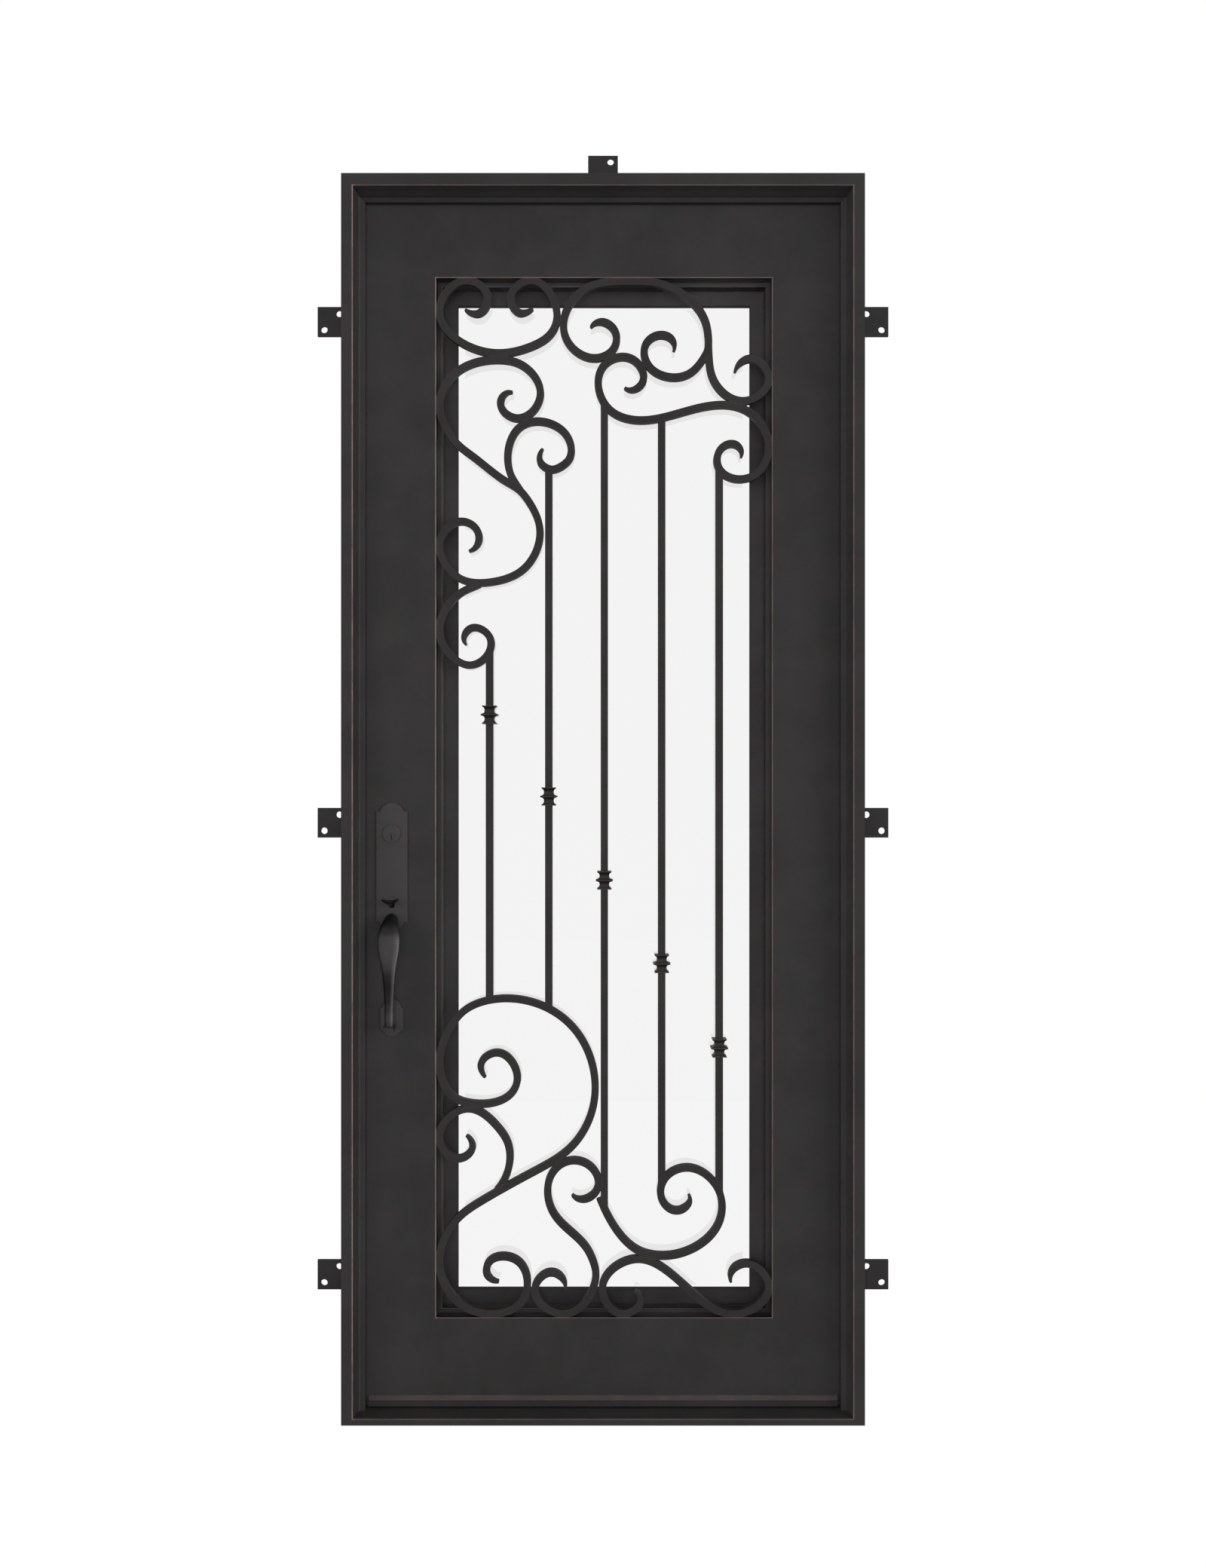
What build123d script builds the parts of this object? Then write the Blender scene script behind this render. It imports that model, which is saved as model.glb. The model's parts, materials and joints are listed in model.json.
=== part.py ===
"""Iron entry door: welded frame, inswing slab with a tall scrollwork window and a thumb-latch pull.

Millimetres. X runs to the right seen from the street, +Y towards the room, +Z up.
The origin is the middle of the sill's underside, half way through the frame's depth.
"""
from build123d import *
from math import pi, sin
import os

# Door frame
unit_width = 1020.0
unit_height = 2438.0
frame_depth = 127.0
jamb_face = 23.1            # jamb width seen from the street
head_face = 24.6
cove_depth = 37.0           # from the frame's front back to the door stop
cove_inset = 5.9            # how far the cove narrows the opening
sill_height = 13.6
sill_round = 1.5

# Door stops
stop_width = 12.0
stop_depth = 11.5
stop_round = 2.5
seal_gap = 5.0              # left for the weather seal between stop and slab

# Mounting tabs
tab_reach = 55.5            # out from the jamb
tab_height = 59.0
tab_thickness = 5.0
tab_front = 54.0            # behind the frame's front
tab_low = 277.0             # above the floor
tab_middle = 1172.0
tab_high = 273.5            # below the frame's top
tab_hole_radius = 6.4
tab_hole_span = 30.0        # across, between the two holes
tab_hole_rise = 31.8        # up, between the two holes
tab_hole_inset = 12.2       # nearer hole from the jamb
tab_round = 0.8

# Slab
slab_thickness = 63.5
edge_gap = 5.2
sill_gap = 5.0
drip_reach = 7.0            # out from the slab's face
drip_height = 20.4
drip_bevel = 8.0
drip_gap = 5.0              # from the door stops

stile_lock_width = 145.4
stile_hinge_width = 141.5
rail_top_height = 151.1
rail_bottom_height = 173.9

# Window
lip_width = 9.4             # fixed lip round the glass
lip_setback = 26.5          # behind the slab's face
glass_setback = 28.0
glass_thickness = 25.4
sash_face = 38.0            # sash width seen inside the cut-out
sash_play = 2.0             # between sash and cut-out
flange_reach = 14.0         # sash flange over the slab's inner face
flange_thickness = 7.0

# Scrollwork
bar_size = 14.5             # square bar
bar_centres = [98.1, 215.6, 325.8, 439.6, 553.7]
bar_tops = [-732.0, -372.2, -239.3, -273.7, -366.2]
bar_feet = [625.0, 607.1, 205.6, 253.4, 239.9]
scroll_sink = 1.4           # outermost scrolls let into the window's edge
tip_width = 4.6
tip_taper = 40.0
sample_step = 14.0

# Collars
collar_drop = 125.508       # first collar from its bar's top
collar_rises = [2.4, -163.6, -328.6, -495.6]     # the others from the window's middle
collar_height = 36.0
collar_rim = 1.8            # thickness at a rim's outer edge
collar_flare = 2.6          # slope from a rim down to the body
collar_rim_half = 14.2
collar_body_half = 10.9
collar_neck_half = 9.5
collar_disc_half = 17.0

# Barrel hinges
hinge_end = 270.0           # outer hinges from the frame's ends
hinge_radius = 11.0
hinge_length = 120.0
hinge_split = 0.5           # between the two knuckles
hinge_pin_radius = 6.0
hinge_pin_play = 0.08
hinge_pin_length = 45.0
hinge_inset = 2.0           # axis inside the jamb's inner face
hinge_standoff = 12.0       # axis behind the frame's room side
leaf_thickness = 5.0
leaf_reach = 24.0

# Pull handle, thumb latch and key cylinder
handle_backset = 57.6       # from the slab's edge
plate_thickness = 4.0
plate_bevel = 1.2
upper_plate_half = 31.5
upper_plate_side = [975.2, 1195.3]
upper_plate_rise = [17.0, 17.0]
upper_plate_shoulder = 7.6
lower_plate_half = 23.0
lower_plate_side = [761.4, 806.4]
lower_plate_rise = [11.8, 17.5]
lower_plate_shoulder = 4.2
cylinder_level = 1150.3
cylinder_radius = 18.0
cylinder_reach = 3.0
cylinder_round = 0.8
cylinder_shank_radius = 13.5
cylinder_shank = 24.0
plug_radius = 6.5
plug_play = 0.15
plug_drop = 6.5             # plug axis below the cylinder's
plug_length = 24.0
plug_reach = 0.3
plug_end_play = 0.5
keyway_width = 1.6
keyway_height = 10.0
keyway_depth = 8.0
thumb_level = 1011.0
thumb_width = 35.0
thumb_dish = 9.5
thumb_pad_sink = 1.0        # pad sunk on its stem
thumb_reach = 38.0          # pad's middle from the pivot
thumb_stem_width = 9.6      # at its top; it narrows downwards
thumb_stem_foot = 3.2
thumb_stem_height = 6.0
thumb_pin_radius = 2.0
thumb_pin_play = 0.1
thumb_hub_radius = 4.5
thumb_hub_half = 5.5
thumb_hub_play = 0.5
ear_thickness = 3.0
ear_half = 6.0
pocket_width = 27.0
pocket_height = 26.0
pocket_depth = 22.0
slot_width = 11.4
slot_up = 4.6
slot_down = 7.4
slot_round = 3.0
grip_stations = [           # level, out from the slab, width, thickness
    (967.0, 37.0, 36.0, 17.0),
    (954.0, 45.0, 41.8, 14.5),
    (936.0, 49.5, 43.2, 13.0),
    (908.0, 49.5, 35.4, 12.0),
    (888.0, 46.5, 28.4, 11.5),
    (868.0, 43.5, 24.0, 11.0),
    (846.0, 41.0, 20.6, 11.0),
    (820.0, 40.0, 18.2, 11.0),
    (798.0, 40.0, 17.3, 11.0),
    (771.0, 40.0, 17.0, 11.0),
]
grip_root_level = 979.0
grip_root_width = 23.0
grip_root_height = 24.0
foot_bottom = 764.0
foot_top = 774.5
foot_width = 20.0
foot_reach = 46.0
foot_band = 11.0            # depth of the band across the grip's end
foot_round = 3.5
foot_post_width = 13.0
foot_post_height = 7.0

# Face plates of the latch and bolt, and their strikes
edge_plate_width = 25.4
edge_plate_height = 57.2
edge_plate_thickness = 2.4
edge_bolt_width = 13.0
edge_bolt_height = 25.0
edge_bolt_setback = 1.2
edge_plate_round = 3.0
strike_width = 30.0
strike_height = 70.0
strike_thickness = 1.6
strike_hole_width = 16.0
strike_hole_height = 30.0
strike_hole_depth = 14.0

# Inside hardware
rose_radius = 31.0
rose_thickness = 9.0
rose_round = 3.0
lever_neck_radius = 9.0
lever_neck = 42.0
lever_length = 112.0
lever_height = 19.0
lever_thickness = 11.0
turn_radius = 28.0
turn_height = 40.0
turn_width = 11.0
turn_reach = 20.0

# Places that follow from the sizes above
frame_front = -frame_depth / 2
frame_back = frame_depth / 2
half_unit = unit_width / 2
opening_half = half_unit - jamb_face - cove_inset
head_inset = cove_inset * head_face / jamb_face
opening_top = unit_height - head_face - head_inset
stop_front = frame_front + cove_depth
stop_back = stop_front + stop_depth
slab_front = stop_back + seal_gap
slab_back = slab_front + slab_thickness
slab_half = opening_half - edge_gap
slab_bottom = sill_height + sill_gap
slab_top = opening_top - edge_gap
window_left = -slab_half + stile_lock_width
window_right = slab_half - stile_hinge_width
window_bottom = slab_bottom + rail_bottom_height
window_top = slab_top - rail_top_height
window_width = window_right - window_left
window_height = window_top - window_bottom
window_centre = ((window_left + window_right) / 2, (window_bottom + window_top) / 2)
lip_front = slab_front + lip_setback
glass_front = slab_front + glass_setback
glass_back = glass_front + glass_thickness
grille_back = slab_front + bar_size
hinge_x = opening_half + hinge_inset
hinge_y = frame_back + hinge_standoff
hinge_levels = [hinge_end, unit_height / 2, unit_height - hinge_end]
tab_levels = [tab_low, tab_middle, unit_height - tab_high]
handle_x = -slab_half + handle_backset
plate_front = slab_front - plate_thickness
plate_bore_radius = cylinder_shank_radius + 0.5
pivot_y = slab_front + thumb_hub_radius + 2.5
plug_level = cylinder_level - plug_drop


def street_plane(depth):
    """Upright plane at this depth, with X across and Z up, facing the street."""
    return Plane.XZ.offset(-depth)


def finish(piece, name):
    """Name the finished solids and write them."""
    piece.part.label = name
    export_step(piece.part, f"parts/{name}.step")


def member_section(face, inset, outer):
    """Section of a frame member: first away from the opening, then into the depth."""
    inner = outer - face
    with BuildSketch() as section:
        with BuildLine():
            Polyline(
                (inner, frame_front),
                (outer, frame_front),
                (outer, frame_back),
                (inner - inset, frame_back),
                (inner - inset, stop_front),
            )
            ThreePointArc(
                (inner - inset, stop_front),
                (inner - inset / 4, frame_front + cove_depth / 2),
                (inner, frame_front),
            )
        make_face()
    return section.sketch


def tab_holes(middle, lean):
    """Two bolt holes through a tab, on the diagonal that leans this way."""
    step_x = lean * tab_hole_span / 2
    step_z = tab_hole_rise / 2
    with Locations(
        (middle[0] - step_x, middle[1] - step_z),
        (middle[0] + step_x, middle[1] + step_z),
    ):
        Circle(tab_hole_radius, mode=Mode.SUBTRACT)


os.makedirs("parts", exist_ok=True)

# The head meets each jamb on the line from the outer corner to the opening's corner.
mitre = Plane(
    origin=(half_unit, 0, unit_height),
    x_dir=(0, 1, 0),
    z_dir=(head_face, 0, -jamb_face),
)
stop_mitre = Plane(
    origin=(opening_half, 0, opening_top),
    x_dir=(0, 1, 0),
    z_dir=(1, 0, -1),
)
across = Plane(origin=(half_unit, 0, 0), x_dir=(0, 0, 1), z_dir=(-1, 0, 0))

# Frame: two jambs to the floor and the head between their mitres
bolt_y = (slab_front + slab_back) / 2
bolt_places = [(bolt_y, thumb_level), (bolt_y, cylinder_level)]
jamb_section = member_section(jamb_face, cove_inset, half_unit)
head_section = member_section(head_face, head_inset, unit_height)
with BuildPart() as jamb_right:
    with BuildSketch(Plane.XY):
        add(jamb_section)
    extrude(amount=unit_height)
    split(bisect_by=mitre, keep=Keep.TOP)
finish(jamb_right, "jamb_right")

with BuildPart() as jamb_left:
    mirror(jamb_right.part, about=Plane.YZ)
    with BuildSketch(Plane.YZ.offset(-opening_half)):
        with Locations(bolt_places):
            RectangleRounded(strike_width, strike_height, edge_plate_round)
    extrude(amount=-strike_thickness, mode=Mode.SUBTRACT)
    with BuildSketch(Plane.YZ.offset(-opening_half)):
        with Locations(bolt_places):
            Rectangle(strike_hole_width, strike_hole_height)
    extrude(amount=-strike_hole_depth, mode=Mode.SUBTRACT)
finish(jamb_left, "jamb_left")

with BuildPart() as strikes:
    with BuildSketch(Plane.YZ.offset(-opening_half)):
        with Locations(bolt_places):
            RectangleRounded(strike_width, strike_height, edge_plate_round)
            Rectangle(strike_hole_width, strike_hole_height, mode=Mode.SUBTRACT)
    extrude(amount=-strike_thickness)
finish(strikes, "strikes")

with BuildPart() as head_half:
    with BuildSketch(across):
        add(head_section)
    extrude(amount=half_unit)
    split(bisect_by=mitre, keep=Keep.BOTTOM)

with BuildPart() as head:
    add(head_half.part)
    mirror(head_half.part, about=Plane.YZ)
finish(head, "head")

# Sill between the jambs, its front edge eased
with BuildPart() as sill:
    with BuildSketch(Plane.XY):
        Rectangle(2 * (half_unit - jamb_face / 2), frame_depth)
    extrude(amount=sill_height)
    front_edges = sill.edges().filter_by(Axis.X).group_by(Axis.Y)[0]
    fillet(front_edges.sort_by(Axis.Z)[-1], radius=sill_round)
    add(jamb_right.part, mode=Mode.SUBTRACT)
    add(jamb_left.part, mode=Mode.SUBTRACT)
finish(sill, "sill")

# Door stops round three sides, their street corners eased
with BuildPart() as stop_right:
    with BuildSketch(Plane.XY.offset(sill_height)):
        with Locations((opening_half - stop_width / 2, (stop_front + stop_back) / 2)):
            Rectangle(stop_width, stop_depth)
    extrude(amount=opening_top - sill_height)
    face_edges = stop_right.edges().filter_by(Axis.Z).group_by(Axis.Y)[0]
    fillet(face_edges.sort_by(Axis.X)[0], radius=stop_round)
    split(bisect_by=stop_mitre, keep=Keep.TOP)
finish(stop_right, "stop_right")

with BuildPart() as stop_left:
    mirror(stop_right.part, about=Plane.YZ)
finish(stop_left, "stop_left")

with BuildPart() as stop_head_half:
    with BuildSketch(Plane.YZ):
        with Locations(((stop_front + stop_back) / 2, opening_top - stop_width / 2)):
            Rectangle(stop_depth, stop_width)
    extrude(amount=opening_half)
    face_edges = stop_head_half.edges().filter_by(Axis.X).group_by(Axis.Y)[0]
    fillet(face_edges.sort_by(Axis.Z)[0], radius=stop_round)
    split(bisect_by=stop_mitre, keep=Keep.BOTTOM)

with BuildPart() as stop_head:
    add(stop_head_half.part)
    mirror(stop_head_half.part, about=Plane.YZ)
finish(stop_head, "stop_head")

# Mounting tabs, welded edge-on to the outside of the frame
tab_back = frame_front + tab_front + tab_thickness
tab_hole_middle = tab_hole_inset + tab_hole_span / 2
with BuildPart() as tabs_right:
    with BuildSketch(street_plane(tab_back)):
        for level in tab_levels:
            with Locations((half_unit + tab_reach / 2, level)):
                Rectangle(tab_reach, tab_height)
            tab_holes((half_unit + tab_hole_middle, level), -1)
    extrude(amount=tab_thickness)
    outer_edges = tabs_right.edges().filter_by(Axis.Y).group_by(Axis.X)[-1]
    fillet(outer_edges, radius=tab_round)
finish(tabs_right, "tabs_right")

with BuildPart() as tabs_left:
    mirror(tabs_right.part, about=Plane.YZ)
finish(tabs_left, "tabs_left")

with BuildPart() as tab_top:
    with BuildSketch(street_plane(tab_back)):
        with Locations((0, unit_height + tab_reach / 2)):
            Rectangle(tab_height, tab_reach)
        tab_holes((0, unit_height + tab_hole_middle), 1)
    extrude(amount=tab_thickness)
    outer_edges = tab_top.edges().filter_by(Axis.Y).group_by(Axis.Z)[-1]
    fillet(outer_edges, radius=tab_round)
finish(tab_top, "tab_top")


# Slab: two stiles with the rails between them, flush on both faces
def slab_piece(left, right, bottom, top):
    """Plain box of the slab between these edges."""
    with BuildPart() as piece:
        with BuildSketch(street_plane(slab_back)):
            with Locations(((left + right) / 2, (bottom + top) / 2)):
                Rectangle(right - left, top - bottom)
        extrude(amount=slab_thickness)
    return piece


lock_stile_box = slab_piece(-slab_half, window_left, slab_bottom, slab_top)
with BuildPart() as stile_lock:
    add(lock_stile_box.part)
    with BuildSketch(street_plane(slab_front)):
        with Locations((handle_x, cylinder_level)):
            Circle(plate_bore_radius)
    extrude(amount=-cylinder_shank, mode=Mode.SUBTRACT)
    with BuildSketch(street_plane(slab_front)):
        with Locations((handle_x, thumb_level)):
            Rectangle(pocket_width, pocket_height)
    extrude(amount=-pocket_depth, mode=Mode.SUBTRACT)
    with BuildSketch(Plane.YZ.offset(-slab_half)):
        with Locations(bolt_places):
            RectangleRounded(edge_plate_width, edge_plate_height, edge_plate_round)
    extrude(amount=edge_plate_thickness, mode=Mode.SUBTRACT)
finish(stile_lock, "stile_lock")

with BuildPart() as edge_plates:
    with BuildSketch(Plane.YZ.offset(-slab_half)):
        with Locations(bolt_places):
            RectangleRounded(edge_plate_width, edge_plate_height, edge_plate_round)
    extrude(amount=edge_plate_thickness)
    with BuildSketch(Plane.YZ.offset(-slab_half)):
        with Locations(bolt_places):
            Rectangle(edge_bolt_width, edge_bolt_height)
    extrude(amount=edge_bolt_setback, mode=Mode.SUBTRACT)
finish(edge_plates, "edge_plates")

stile_hinge = slab_piece(window_right, slab_half, slab_bottom, slab_top)
finish(stile_hinge, "stile_hinge")

rail_top = slab_piece(window_left, window_right, window_top, slab_top)
finish(rail_top, "rail_top")

rail_bottom = slab_piece(window_left, window_right, slab_bottom, window_bottom)
finish(rail_bottom, "rail_bottom")

# Drip bar across the slab's foot, between the door stops
drip_half = opening_half - stop_width - drip_gap
with BuildPart() as drip_bar:
    with BuildSketch(Plane.YZ.offset(-drip_half)):
        with BuildLine():
            Polyline(
                (slab_front, slab_bottom),
                (slab_front - drip_reach, slab_bottom),
                (slab_front - drip_reach, slab_bottom + drip_height - drip_bevel),
                (slab_front, slab_bottom + drip_height),
                close=True,
            )
        make_face()
    extrude(amount=2 * drip_half)
finish(drip_bar, "drip_bar")

# Fixed lip round the window, flush with the back of the glass
lip_depth = glass_back - lip_front
with BuildPart() as lip_sides:
    with BuildSketch(street_plane(glass_back)):
        for edge in (window_left + lip_width / 2, window_right - lip_width / 2):
            with Locations((edge, window_centre[1])):
                Rectangle(lip_width, window_height)
    extrude(amount=lip_depth)
finish(lip_sides, "lip_sides")

with BuildPart() as lip_ends:
    with BuildSketch(street_plane(glass_back)):
        for edge in (window_bottom + lip_width / 2, window_top - lip_width / 2):
            with Locations((window_centre[0], edge)):
                Rectangle(window_width - 2 * lip_width, lip_width)
    extrude(amount=lip_depth)
finish(lip_ends, "lip_ends")

with BuildPart() as glass:
    with BuildSketch(street_plane(glass_back)):
        with Locations(window_centre):
            Rectangle(window_width - 2 * lip_width, window_height - 2 * lip_width)
    extrude(amount=glass_thickness)
finish(glass, "glass")


# Inner sash that holds the glass, with a flange over the slab's room side
def sash_section(outer, inward):
    """Stepped section of a sash member; inward is +1 or -1 towards the glass."""
    with BuildSketch() as section:
        with BuildLine():
            Polyline(
                (outer + inward * sash_play, glass_back),
                (outer + inward * sash_face, glass_back),
                (outer + inward * sash_face, slab_back + flange_thickness),
                (outer - inward * flange_reach, slab_back + flange_thickness),
                (outer - inward * flange_reach, slab_back),
                (outer + inward * sash_play, slab_back),
                close=True,
            )
        make_face()
    return section.sketch


sash_bottom = window_bottom - flange_reach
sash_height = window_height + 2 * flange_reach
side_sections = [sash_section(window_left, 1), sash_section(window_right, -1)]
end_sections = [sash_section(window_bottom, 1), sash_section(window_top, -1)]
with BuildPart() as sash_sides:
    with BuildSketch(Plane.XY.offset(sash_bottom)):
        add(side_sections)
    extrude(amount=sash_height)
    with BuildSketch(street_plane(slab_back)):
        for end in (sash_bottom, sash_bottom + sash_height):
            with Locations((window_centre[0], end)):
                Rectangle(window_width, 2 * (flange_reach + sash_play))
    extrude(amount=slab_back - glass_back, mode=Mode.SUBTRACT)
finish(sash_sides, "sash_sides")

sash_span = window_width - 2 * sash_face
sash_plane = Plane(
    origin=(window_left + sash_face, 0, 0),
    x_dir=(0, 0, 1),
    z_dir=(-1, 0, 0),
)
with BuildPart() as sash_ends:
    with BuildSketch(sash_plane):
        add(end_sections)
    extrude(amount=-sash_span)
finish(sash_ends, "sash_ends")


# Scrolls: centre lines by hand, right and up from the point where a bar in the window's
# left corner would touch both edges; the upper ones hang from the top
upper_scrolls = {
    1: [
        (50, -54), (60, -60), (74, -62), (95, -33), (56, 3), (-1, -53), (76, -134),
        (178, -128), (220, -101), (232, -68), (178, 3), (140, -33), (162, -61),
        (174, -58), (184, -52),
    ],
    2: [
        (144, -218), (124, -226), (120, -242), (150, -269), (173, -264), (199, -221),
        (159, -162), (117, -153), (27, -183), (-1, -245), (14, -292), (36, -322),
        (65, -345), (133, -396), (154, -409), (175, -433), (198, -492), (165, -569),
        (109, -593), (36, -585), (22, -573), (-1, -517), (41, -474), (73, -491),
        (77, -510), (57, -533),
    ],
    3: [
        (204, -330), (200, -337), (197, -350), (221, -371), (240, -365), (255, -352),
        (252, -305), (164, -283), (141, -383), (154, -405), (162, -417),
    ],
    4: [
        (52, -719), (47, -706), (61, -686), (98, -703), (93, -740), (57, -759),
        (31, -748), (-1, -695), (51, -610), (65, -604), (78, -598),
    ],
    5: [
        (299, -89), (322, -78), (347, -97), (345, -130), (310, -150), (252, -115),
        (245, -78), (277, -21), (328, 0), (375, 2), (422, 0), (526, -77), (532, -108),
        (530, -136), (524, -148), (490, -183), (413, -164), (409, -121), (440, -104),
        (459, -112), (463, -136),
    ],
    6: [
        (585, -178), (594, -161), (616, -151), (652, -190), (605, -235), (541, -190),
        (534, -157), (532, -117),
    ],
    7: [
        (366, -209), (383, -213), (402, -197), (383, -153), (338, -154), (319, -174),
        (336, -252), (375, -271), (550, -243), (606, -253), (652, -327), (622, -383),
        (571, -385), (553, -368), (555, -333), (577, -320), (587, -322), (597, -347),
    ],
}
lower_scrolls = {
    8: [
        (90, 467), (86, 503), (113, 516), (153, 470), (145, 440), (54, 417), (32, 425),
        (-1, 501), (21, 567), (44, 596), (101, 621), (230, 595), (272, 556), (304, 411),
        (256, 325), (186, 280), (84, 223), (37, 189), (-1, 97), (35, 23), (99, -1),
        (165, 28), (151, 105), (96, 99), (92, 83), (117, 62),
    ],
    9: [
        (52, 352), (61, 320), (38, 306), (-1, 344), (53, 405), (114, 369), (134, 338),
        (131, 272), (113, 243),
    ],
    10: [
        (262, 234), (284, 225), (311, 244), (314, 261), (292, 295), (251, 300),
        (222, 276), (224, 200), (291, 128), (303, 104), (309, 77), (243, -1), (188, 46),
        (193, 62), (222, 80), (242, 69), (249, 49),
    ],
    11: [
        (493, 234), (496, 225), (472, 203), (442, 221), (444, 264), (489, 288),
        (553, 242), (553, 179), (496, 125), (420, 115), (399, 121), (345, 172),
        (325, 209), (317, 228),
    ],
    12: [
        (388, 44), (397, 22), (365, -1), (322, 46), (392, 107), (442, 89), (520, 24),
        (592, -1), (652, 53), (610, 98), (581, 86), (577, 61),
    ],
}
drawn_across = [point[0] for line in (upper_scrolls | lower_scrolls).values() for point in line]
drawn_span = max(drawn_across) - min(drawn_across)
grille_scale = (window_width - bar_size + 2 * scroll_sink) / drawn_span
blunt_ended = (3, 4, 6, 9, 11)
welded_to = {
    2: (1,),
    3: (2,),
    4: (2,),
    5: (1,),
    6: (5,),
    7: (5, 6),
    9: (8,),
    10: (8,),
    12: (8, 10, 11),
}


def grille_point(point, anchor):
    """Place a centre-line point; anchor is the window edge that it hangs on or stands on."""
    across_window = window_left + bar_size / 2 + point[0] * grille_scale
    inset = bar_size / 2 if anchor == window_bottom else -bar_size / 2
    return (across_window, anchor + inset + point[1] * grille_scale)


def bar_half_width(from_tip):
    """Half the bar's width at this distance from a drawn-out tip."""
    share = min(1.0, from_tip / tip_taper)
    return (tip_width + (bar_size - tip_width) * sin(share * pi / 2)) / 2


def scroll_sides(points, anchor, tapered_end):
    """Both sides of a scroll's bar along its centre line."""
    centre = Spline(*[grille_point(point, anchor) for point in points])
    steps = round(centre.length / sample_step)
    near, far = [], []
    for step in range(steps + 1):
        share = step / steps
        half = bar_half_width(share * centre.length)
        if tapered_end:
            half = min(half, bar_half_width((1 - share) * centre.length))
        middle = centre.position_at(share)
        along = centre.tangent_at(share)
        normal = Vector(-along.Y, along.X)
        near.append(middle + normal * half)
        far.append(middle - normal * half)
    return near, far


scrolls = {}
for number, points in (upper_scrolls | lower_scrolls).items():
    anchor = window_top if number in upper_scrolls else window_bottom
    near, far = scroll_sides(points, anchor, number not in blunt_ended)
    with BuildPart() as scroll:
        with BuildSketch(street_plane(grille_back)):
            with BuildLine():
                Spline(*near)
                Line(near[-1], far[-1])
                Spline(*far)
                Line(far[0], near[0])
            make_face()
            with Locations(window_centre):
                Rectangle(window_width, window_height, mode=Mode.INTERSECT)
        extrude(amount=bar_size)
        for other in welded_to.get(number, ()):
            add(scrolls[other], mode=Mode.SUBTRACT)
        keep = scroll.solids().sort_by(SortBy.VOLUME)[-1]
        add(keep, mode=Mode.REPLACE)
    finish(scroll, f"scroll_{number:02d}")
    scrolls[number] = scroll.part

# Upright bars between the scrolls, each threaded through a cast collar
bar_meets = {1: (4, 8), 2: (3, 8), 3: (7, 10, 11), 4: (7, 11), 5: (7, 11)}
bars = []
for number, centre, top, foot in zip(bar_meets, bar_centres, bar_tops, bar_feet):
    low = grille_point((centre, foot), window_bottom)
    high = grille_point((centre, top), window_top)
    with BuildPart() as bar:
        with BuildSketch(street_plane(grille_back)):
            with Locations((low[0], (low[1] + high[1]) / 2)):
                Rectangle(bar_size, high[1] - low[1])
        extrude(amount=bar_size)
        for other in bar_meets[number]:
            add(scrolls[other], mode=Mode.SUBTRACT)
        keep = bar.solids().sort_by(SortBy.VOLUME)[-1]
        add(keep, mode=Mode.REPLACE)
    finish(bar, f"bar_{number}")
    bars.append(bar.part)


# Cast collar on each bar: two flared rims, two coves and a thin disc between them
collar_half = collar_height / 2
disc_half = collar_rim / 2
rim_end = collar_half - collar_rim
cove_end = rim_end - collar_flare
cove_start = disc_half + collar_flare
with BuildSketch() as collar_profile:
    with BuildLine():
        Polyline(
            (0, 0),
            (0, collar_half),
            (collar_rim_half, collar_half),
            (collar_rim_half, rim_end),
            (collar_body_half, cove_end),
        )
        ThreePointArc(
            (collar_body_half, cove_end),
            (collar_neck_half, (cove_end + cove_start) / 2),
            (collar_body_half, cove_start),
        )
        Polyline(
            (collar_body_half, cove_start),
            (collar_disc_half, disc_half),
            (collar_disc_half, 0),
            (0, 0),
        )
    make_face()
    mirror(about=Plane.XZ)
    mirror(about=Plane.YZ)

grille_middle = slab_front + bar_size / 2
first_bar_top = grille_point((bar_centres[0], bar_tops[0]), window_top)[1]
collar_levels = [first_bar_top - collar_drop]
collar_levels += [window_centre[1] + rise for rise in collar_rises]
with BuildPart() as collar:
    with BuildSketch(street_plane(0)):
        add(collar_profile.sketch)
    extrude(amount=collar_disc_half, both=True)
    with BuildSketch(Plane.YZ):
        add(collar_profile.sketch)
    extrude(amount=collar_disc_half, both=True, mode=Mode.INTERSECT)

with BuildPart() as collars:
    for centre, level in zip(bar_centres, collar_levels):
        collar_x = grille_point((centre, 0), window_bottom)[0]
        with Locations((collar_x, grille_middle, level)):
            add(collar.part)
    for bar in bars:
        add(bar, mode=Mode.SUBTRACT)
finish(collars, "collars")

# Barrel hinges on the room side: the pin stands on the frame's half
with BuildPart() as hinges_frame:
    for level in hinge_levels:
        foot = level - hinge_length / 2
        with BuildSketch(Plane.XY.offset(foot)):
            with Locations((hinge_x, hinge_y)):
                Circle(hinge_radius)
            with Locations((hinge_x + leaf_reach / 2, frame_back + leaf_thickness / 2)):
                Rectangle(leaf_reach, leaf_thickness)
        extrude(amount=(hinge_length - hinge_split) / 2)
        with BuildSketch(Plane.XY.offset(level - hinge_split)):
            with Locations((hinge_x, hinge_y)):
                Circle(hinge_pin_radius)
        extrude(amount=hinge_pin_length)
finish(hinges_frame, "hinges_frame")

with BuildSketch() as door_leaf:
    with Locations((hinge_x, hinge_y)):
        Circle(hinge_radius)
    with BuildLine():
        Polyline(
            (slab_half - leaf_reach, slab_back),
            (slab_half, slab_back),
            (slab_half, hinge_y - hinge_radius / 2),
            (hinge_x, hinge_y),
            (hinge_x - hinge_radius / 2, hinge_y + hinge_radius / 2),
            (slab_half - leaf_thickness, slab_back + leaf_thickness),
            (slab_half - leaf_reach, slab_back + leaf_thickness),
            close=True,
        )
    make_face()

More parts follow.
